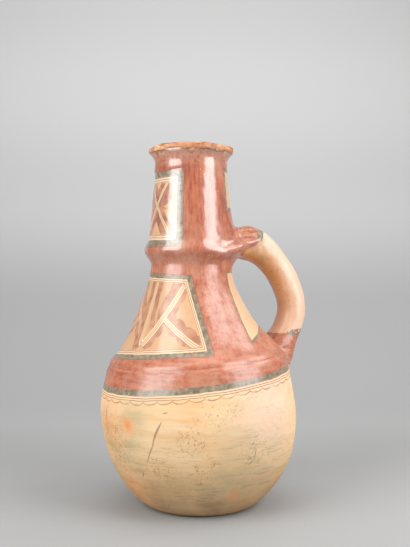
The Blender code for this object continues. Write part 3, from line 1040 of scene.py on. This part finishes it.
        # Thin red-brown washes along the bands, their far edges in lobes
        long_band, short_band = (b.stroke(place, *ends) for ends in (LONG_BAND, SHORT_BAND))
        along_long = self.washed(long_band, 6.4, 0.0, 2.0, 12.5)
        along_short = self.washed(short_band, 4.0, 8.4, 2.8, 12.0)
        rim = ("MULTIPLY_ADD", b.mottle(9.0), 4.0, ("MapRange", z, 193.0, 216.0, 6.4, 19.0))
        inner = b.within(("SUBTRACT", s, rim), 2.0, None, 0.4)
        hollow = ("MULTIPLY", inner, b.within(long_band[0], -30.0, 0.0))
        washes = b.put("MAXIMUM", (("MAXIMUM", along_long, along_short), hollow))
        colour = b.cover(colour, self.fill, washes, field, 0.72)
        corner = b.blot(place, (47.0, 166.0), 5.0, 6.0)
        colour = b.cover(colour, colours.fill_dark, washes, field, corner, 0.7)
        reach = b.put("MULTIPLY", (field, ("MapRange", turned, -9.0, 0.0, 0.45, 1.0)))
        for stroke, half in ((short_band, 2.2), (long_band, 2.5)):
            colour = self.banded(colour, stroke, reach, half, (-0.85, 0.85))

        # Broad wavy brown stripes either side of a narrow upright band
        wave = ("SINE", ("MULTIPLY", z, 0.36))
        off = ("SUBTRACT", ("ABSOLUTE", ("ADD", turned, 1.2)), ("MULTIPLY_ADD", wave, 0.5, 6.4))
        width = ("MapRange", z, 190.0, 216.0, 2.5, 3.4)
        off = b.put("SUBTRACT", (("ABSOLUTE", off), width))
        foot = ("MapRange", turned, -1.0, 1.0, 156.0, 176.0)
        stripe = b.put("MULTIPLY", (b.within(("SUBTRACT", z, foot), 0.0, None, 3.0), field))
        colour = b.cover(colour, self.fill, b.within(off, None, 0.0, 0.4), stripe, 0.85)
        colour = b.cover(colour, colours.fill_dark, b.within(off, -0.3, 0.25, 0.2), stripe, 0.55)
        upright = b.stroke(b.put("CombineXYZ", (turned, z, 0.0)), (-3.0, 162.0), (-0.8, 224.0))
        colour = self.banded(colour, upright, ("MULTIPLY", field, 0.8), 1.7, (-0.8, 0.8))

        # Under the handle
        s = b.put("ABSOLUTE", (self.p,))
        at_zero = UNDER_HALF_TURN + UNDER_SPREAD_FROM * UNDER_SPREAD
        edge = ("MULTIPLY_ADD", z, -UNDER_SPREAD, at_zero)
        foot = ("SUBTRACT", ("MULTIPLY_ADD", s, -0.34, 50.0 * 0.34 + 166.0), z)
        ends = ("MAXIMUM", foot, ("SUBTRACT", z, UNDER_TOP))
        gap = ("MAXIMUM", ("MULTIPLY", ("SUBTRACT", s, edge), scale), ends)
        return self.plain(colour, gap, 1.9, b.cover(self.panel, colours.line, 0.3))

    def belly(self, colour):
        """Cream belly under the dark band, with fine lines, a row of scallops and old stains."""
        b, colours, height, on_wall = self.b, self.colours, self.height, self.on_wall
        edge = ("MULTIPLY_ADD", ("COSINE", ("RADIANS", self.p)), BAND_CLIMB, BAND_MIDDLE)
        off = b.put("SUBTRACT", (self.z, edge))
        belly = b.put("MULTIPLY", (b.within(off, None, -2.9, 0.3), on_wall))
        place = b.put("CombineXYZ", (("MULTIPLY", self.p, BELLY_MM_PER_DEGREE), self.z, 0.0))
        clouds = b.mottle(45.0, detail=4.0)
        streaks = b.mottle(6.7, stretch=(0.12, 0.12, 1.0), detail=5.0)
        cream = b.cover(colours.belly, colours.belly_pale, ("MapRange", streaks, 0.34, 0.66))

        # Paler and pinker towards the handle on the front, tanned and greyer near the foot
        side = b.blot(place, (-66.0 * BELLY_MM_PER_DEGREE, 104.0), 36.0, 30.0)
        cream = b.cover(cream, colours.belly_pink, side, 0.75)
        low = b.put("MapRange", (height, 84.0, 8.0, 0.0, 0.8), interpolation_type="SMOOTHSTEP")
        cream = b.cover(cream, colours.belly_tan, low, ("MapRange", clouds, 0.3, 0.7, 0.55, 1.2))
        blotchy = b.mottle(9.0, stretch=(0.5, 0.5, 1.0), detail=4.0)
        for key, least, marks in BELLY_MARKS:
            for turned, rise, radius, strength in marks:
                spot = b.blot(place, (turned * BELLY_MM_PER_DEGREE, rise), radius, radius)
                rough = ("MapRange", blotchy, 0.38, 0.60, least * strength, strength)
                cream = b.cover(cream, getattr(colours, key), spot, rough)
        fine = b.within(b.mottle(1.6, stretch=(0.08, 0.08, 1.0)), None, 0.42, 0.05)
        lower, dirty = b.within(height, None, 84.0, 26.0), b.within(blotchy, 0.47, None, 0.08)
        cream = b.cover(cream, colours.stain, fine, lower, dirty, 0.22)
        cream = b.cover(cream, colours.clay, b.within(blotchy, None, 0.42, 0.06), 0.14)

        # Pits and hairline cracks, gathered where the surface is most worn
        flecks = b.within(b.mottle(2.1, detail=2.0), None, 0.37, 0.03)
        cracks = b.within(b.mottle(10.0, detail=2.5), 0.491, 0.509, 0.007)
        cracks = b.put("MULTIPLY", (cracks, b.within(b.mottle(6.0), 0.49, None, 0.04)))
        worn = [(b.within(clouds, None, 0.48, 0.06), 0.20, 0.30)]
        for turned, rise, radius in SPECKLED:
            spot = b.blot(place, (turned * BELLY_MM_PER_DEGREE, rise), radius, radius)
            worn.append((spot, 0.45, 0.75))
        for spot, fleck, crack in worn:
            cream = b.cover(cream, colours.stain, flecks, spot, fleck)
            cream = b.cover(cream, colours.stain, cracks, spot, crack)
        for start, stop, half in SCRATCHES:
            ends = [(turned * BELLY_MM_PER_DEGREE, rise) for turned, rise in (start, stop)]
            cream = b.cover(cream, colours.stain, b.scratch(place, *ends, half), 0.65)
        # Painted shade: a dark rim along the bottom 3 mm, where the foot meets the floor
        cream = b.cover(cream, colours.stain, b.within(height, None, 3.0, 2.5), 0.6)
        colour = b.cover(colour, cream, belly)

        # Two fine cream lines, each over a thin brown one
        for at in BELLY_LINES:
            colour = b.cover(colour, colours.line, b.within(off, at - 0.5, at + 0.5), on_wall)
            thin = b.within(off, at - 1.2, at - 0.6)
            colour = b.cover(colour, colours.fill_dark, thin, on_wall, 0.9)
        # Scallops, each half an ellipse, then the dark band over all
        lobe = ("FRACT", ("MULTIPLY", self.p, 1.0 / SCALLOP_TURN))
        lobe = b.put("MULTIPLY_ADD", (lobe, 2.0, -1.0))
        lobe = ("SQRT", ("MULTIPLY_ADD", ("MULTIPLY", lobe, lobe), -1.0, 1.02))
        scallop = b.within(("ADD", off, ("MULTIPLY_ADD", lobe, 3.2, 7.1)), -0.6, 0.6, 0.3)
        worn = ("MapRange", b.mottle(7.7), 0.35, 0.6, 0.35, 0.95)
        colour = b.cover(colour, self.fill, scallop, on_wall, worn)
        return b.cover(colour, self.black, b.within(off, -2.8, 2.7, 0.3), on_wall), belly

    def strap(self, colour):
        """Cream handle, tan where hands rub its inner side, with a black mark at each end."""
        b, colours, x, z = self.b, self.colours, self.x, self.z
        # The slip starts at a slanting line above, frayed underneath, and ends level below
        ragged = b.put("MULTIPLY_ADD", (b.mottle(5.3), 2.4, z))
        frayed = ("MULTIPLY_ADD", b.mottle(4.5, detail=4.0), 9.0, -4.5)
        upper = b.put("MULTIPLY_ADD", (z, -0.504, ("MULTIPLY_ADD", x, 0.864, 83.4)))
        below = ("ADD", ("SUBTRACT", ("MULTIPLY_ADD", x, 0.36, 235.4), z), frayed)
        below = ("MULTIPLY", b.within(below, 0.0, None, 0.8), b.within(x, 36.0, None, 2.0))
        reach = ("MAXIMUM", b.within(upper, 0.0, None, 0.6), below)
        cream = ("MULTIPLY", reach, b.within(ragged, 167.2, None, 0.5))
        cream = b.put("MULTIPLY", (cream, self.on_strap))
        streaks = b.mottle(6.2, stretch=(1.0, 1.0, 0.25), detail=4.0)
        pale = ("MapRange", streaks, 0.35, 0.65, 0.0, 0.6)
        slip = b.cover(colours.strap, colours.belly_pink, pale)
        rub = ("MULTIPLY_ADD", streaks, 1.3, self.face)
        rubbed = b.put("MapRange", (rub, 1.0, -0.25), interpolation_type="SMOOTHSTEP")
        rubbed = b.put("MULTIPLY", (rubbed, ("MapRange", z, 175.0, 225.0, 0.35, 1.0)))
        slip = b.cover(slip, colours.strap_under, rubbed)
        smoke = b.within(b.mottle(13.0), None, 0.42, 0.05)
        slip = b.cover(slip, colours.belly_grey, smoke, rubbed, 0.35)
        flecks = b.within(b.mottle(2.4), None, 0.36, 0.03)
        slip = b.cover(slip, colours.stain, flecks, rubbed, 0.5)
        # Streaks drawn along the two rolls of the upper root
        roll = ("MULTIPLY", b.within(z, 258.0, None, 2.0), b.within(x, 32.0, None, 4.0))
        roll = b.put("MULTIPLY", (roll, self.on_strap))
        drawn = b.mottle(3.0, stretch=(0.25, 1.0, 1.0))
        colour = b.cover(colour, colours.clay, b.within(drawn, 0.54, None, 0.04), roll, 0.6)
        colour = b.cover(colour, colours.red_dark, b.within(drawn, None, 0.46, 0.04), roll, 0.5)
        colour = b.cover(colour, slip, cream)
        # The black marks, whole above and broken below
        mark, outer = b.within(upper, -2.9, 2.9, 0.4), b.within(self.face, 0.18, None, 0.12)
        colour = b.cover(colour, self.black, mark, outer, self.on_strap)
        holes = b.within(b.mottle(4.0), 0.45, None, 0.03)
        foot, far = b.within(ragged, 163.8, 170.8, 0.8), b.within(x, 88.5, None, 1.0)
        return b.cover(colour, self.black, foot, far, holes, self.on_strap), cream

    def lip(self, colour):
        """The lip is rubbed to orange clay, over a broken dark line and small bare patches."""
        b, colours = self.b, self.colours
        ragged = b.put("MULTIPLY_ADD", (b.mottle(5.0, detail=4.0), 4.0, self.height))
        below = b.within(ragged, 343.0, 347.0, 0.6)
        bare = b.within(b.mottle(4.0, detail=4.0), None, 0.43, 0.03)
        patchy = b.within(self.clouds, None, 0.5, 0.05)
        colour = b.cover(colour, colours.line, below, bare, patchy, 0.55)
        line = b.within(ragged, 346.2, 347.6, 0.5)
        broken = b.within(b.mottle(9.0), None, 0.56, 0.05)
        colour = b.cover(colour, colours.stain, line, broken, 0.85)
        streaks = b.mottle(3.2, stretch=(0.35, 0.35, 1.0), detail=4.0)
        clay = b.cover(colours.clay_dark, colours.clay, ("MapRange", streaks, 0.36, 0.62))
        clay = b.cover(clay, colours.line, b.within(streaks, 0.60, None, 0.03), 0.6)
        clay = b.cover(clay, colours.stain, b.within(streaks, None, 0.385, 0.02), 0.7)
        worn = b.within(ragged, 347.4, None, 0.5)
        return b.cover(colour, clay, worn), worn


def paint_jug(colours):
    """Low-fired clay: red slip burnished and coated with resin above, matte cream slip below.

    The resin gives broad soft highlights on the red, black and cream paint. The belly stays dry
    and chalky, with smoke smudges, pits and scratches. The lip is rubbed down to orange clay.
    """
    coat = JugCoat(colours)
    b = coat.b
    colour = coat.bell_panels(coat.neck_panels(coat.red()))
    colour, belly = coat.belly(colour)
    colour, cream_strap = coat.strap(colour)
    colour, worn = coat.lip(colour)
    clay = b.cover(colours.clay_inside, colours.clay, b.mottle(11.0))
    colour = b.cover(colour, clay, coat.inside)

    # Finish: resin over the paint, dry slip on the belly, rubbed clay at the lip and inside
    gloss = ("MULTIPLY_ADD", coat.dust_and_sheen, 0.10, ("MapRange", coat.brushed, 0.3, 0.7, 0.28, 0.44))
    for mask, rough in ((cream_strap, 0.42), (worn, 0.55), (belly, 0.72), (coat.inside, 0.85)):
        gloss = b.put("Mix", {0: mask, 2: gloss, 3: rough}, data_type="FLOAT")
    beside = b.put("CombineXYZ", (coat.x, coat.z, 0.0))
    spots = (((44.0, 268.0), 9.0, 4.0), ((59.0, 266.0), 6.0, 2.0))
    thumbed = [b.blot(beside, *spot) for spot in spots]
    dry = ("MAXIMUM", ("MAXIMUM", belly, coat.inside), worn)
    for mask, share in ((cream_strap, 0.8), (("MAXIMUM", *thumbed), 0.9), (coat.dust_and_sheen, 0.62)):
        dry = ("MAXIMUM", dry, ("MULTIPLY", mask, share))

    # Relief: burnish facets, and on the belly pits and dry grain
    grain = b.mottle(1.1)
    drag = b.mottle(4.2, stretch=(0.15, 0.15, 1.0), detail=4.0)
    pits = b.within(b.mottle(3.0, detail=2.0), None, 0.30, 0.03)
    chalky = ("MULTIPLY_ADD", grain, 0.25, ("MULTIPLY", drag, 0.6))
    chalky = ("MULTIPLY_ADD", pits, -0.8, chalky)
    smooth = ("MULTIPLY_ADD", grain, 0.08, ("MULTIPLY", coat.strokes, 0.26))
    relief = b.put("Mix", {0: belly, 2: smooth, 3: chalky}, data_type="FLOAT")
    bump = b.put("Bump", {"Height": relief, "Strength": 0.35, "Distance": 0.0006})
    finish = {"Base Color": colour, "Roughness": gloss, "Normal": bump, "IOR": 1.5}
    resin = {"Coat Weight": ("SUBTRACT", 1.0, dry), "Coat Roughness": 0.18, "Coat IOR": 1.8}
    b.feed(b.shader, {**finish, **resin})
    return b.material


def paint_paper(way):
    """Matte grey studio paper, with painted light and shade graded along its length from the floor
    to the backdrop's top.
    """
    b = Brush("matte_studio_paper")
    far = b.put("VectorMath", (b.space, tuple(way)), out="Value", operation="DOT_PRODUCT")
    grey = linear(PAPER_GREY)
    for start, stop, code in PAPER_PAINTED_LIGHT_GREYS:
        share = b.put("MapRange", (far, start, stop), interpolation_type="SMOOTHSTEP")
        grey = b.cover(grey, linear(code), share)
    b.feed(b.shader, {"Base Color": grey, "Roughness": 0.9})
    return b.material


class JUG_OT_make_jug(bpy.types.Operator):
    """Builds the whole jug as one piece of clay and paints it"""

    bl_idname = "jug.make_jug"
    bl_label = "Make the jug"

    def execute(self, context):
        scene = context.scene
        body = make_jug(JugShape(scene.jug_wall, scene.jug_strap))
        body.data.materials.clear()
        body.data.materials.append(paint_jug(scene.jug_paint))
        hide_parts("jug")
        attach(body, "root")
        return {"FINISHED"}


class JUG_OT_set_stage(bpy.types.Operator):
    """Lays the floor, hangs the softboxes and places the camera"""

    bl_idname = "jug.set_stage"
    bl_label = "Set the stage"

    def execute(self, context):
        set_stage()
        return {"FINISHED"}


def face(item, way):
    """Turns a lamp or the camera to look along a direction."""
    item.rotation_mode = "QUATERNION"
    item.rotation_quaternion = way.to_track_quat("-Z", "Y")


def set_stage():
    forward = Vector((math.sin(VIEW_TURN), math.cos(VIEW_TURN), 0.0))
    right = Vector((math.cos(VIEW_TURN), -math.sin(VIEW_TURN), 0.0))
    up = Vector((0.0, 0.0, 1.0))
    deselect_all()
    bpy.ops.mesh.primitive_plane_add(size=1.0, location=(0.0, 0.0, 0.0))
    sweep = bpy.context.object
    sweep.name = "studio_sweep"
    bpy.ops.object.mode_set(mode="EDIT")
    bpy.ops.mesh.select_all(action="SELECT")
    bpy.ops.transform.resize(value=(PAPER_WIDTH, PAPER_DEPTH, 1.0))
    bpy.ops.transform.translate(value=(0.0, PAPER_SHIFT, 0.0))
    select_edges(sweep, lambda edge: all(vert.co.y > 0.0 for vert in edge.verts))
    bpy.ops.mesh.extrude_region_move(TRANSFORM_OT_translate={"value": (0.0, 0.0, PAPER_RISE)})
    select_edges(sweep, lambda edge: all(v.co.y > 0.0 and v.co.z < 0.1 for v in edge.verts))
    bpy.ops.mesh.bevel(offset=PAPER_BEND, segments=24, affect="EDGES")
    bpy.ops.object.mode_set(mode="OBJECT")
    sweep.data.transform(Matrix.Rotation(-VIEW_TURN, 4, "Z"))
    bpy.ops.object.shade_smooth()
    sweep.data.materials.append(paint_paper(forward + up))

    # Name, place, what it looks at, width, height in metres and watts
    lamps = (
        ("softbox_right", right * 0.82 - forward * 0.48 + up * 0.64, up * 0.2, 0.64, 1.14, 12.2),
        ("softbox_left", -right * 0.80 - forward * 0.67 + up * 0.64, up * 0.2, 0.76, 1.14, 14.6),
        ("softbox_side", right * 1.08 + forward * 0.22 + up * 1.05, up * 0.25, 0.5, 0.5, 3.4),
        ("softbox_top", up * 1.5 - forward * 0.2, up * 0.2, 1.0, 0.8, 4.0),
        ("backdrop_wash", forward * 0.7 + up * 1.9, forward * 2.0 + up * 0.7, 2.4, 0.5, 22.5),
    )
    for name, place, target, size_x, size_y, power in lamps:
        deselect_all()
        bpy.ops.object.light_add(type="AREA", location=place)
        lamp = bpy.context.object
        lamp.name = name
        lamp.data.shape = "RECTANGLE"
        lamp.data.size, lamp.data.size_y = size_x, size_y
        lamp.data.energy = power
        face(lamp, target - place)

    world = bpy.context.scene.world or bpy.data.worlds.new("studio")
    bpy.context.scene.world = world
    world.use_nodes = True
    sky = world.node_tree.nodes["Background"]
    sky.inputs["Color"].default_value = linear("E4E4E4")
    sky.inputs["Strength"].default_value = 0.34
    bpy.context.scene.view_settings.view_transform = "Standard"

    eye = -forward * CAMERA_DISTANCE + right * CAMERA_SIDE + up * CAMERA_HEIGHT
    deselect_all()
    bpy.ops.object.camera_add(location=eye)
    camera = bpy.context.object
    face(camera, forward)
    camera.data.lens = 50.0
    camera.data.sensor_width = 36.0
    camera.data.dof.use_dof = False
    bpy.context.scene.camera = camera


class JUG_PT_sidebar(bpy.types.Panel):
    """Lists the steps that build the jug"""

    bl_idname = "JUG_PT_sidebar"
    bl_label = "Painted jug"
    bl_space_type = "VIEW_3D"
    bl_region_type = "UI"
    bl_category = "Jug"

    def draw(self, context):
        for operator in (JUG_OT_make_jug, JUG_OT_set_stage):
            self.layout.operator(operator.bl_idname)
        for group in GROUPS:
            values = getattr(context.scene, group)
            box = self.layout.box()
            for key in values.bl_rna.properties.keys():
                if key not in ("rna_type", "name"):
                    box.prop(values, key)


GROUPS = {"jug_wall": JugWall, "jug_strap": JugStrap, "jug_paint": JugPaint}
CLASSES = (*GROUPS.values(), JUG_OT_make_jug, JUG_OT_set_stage, JUG_PT_sidebar)


def register():
    for item in CLASSES:
        bpy.utils.register_class(item)
    for name, group in GROUPS.items():
        setattr(bpy.types.Scene, name, PointerProperty(type=group))


def unregister():
    for name in GROUPS:
        delattr(bpy.types.Scene, name)
    for item in reversed(CLASSES):
        bpy.utils.unregister_class(item)


def main():
    register()
    for step in (bpy.ops.jug.make_jug, bpy.ops.jug.set_stage):
        if step() != {"FINISHED"}:
            raise RuntimeError("a step of the jug didn't finish")


if __name__ == "__main__":
    main()
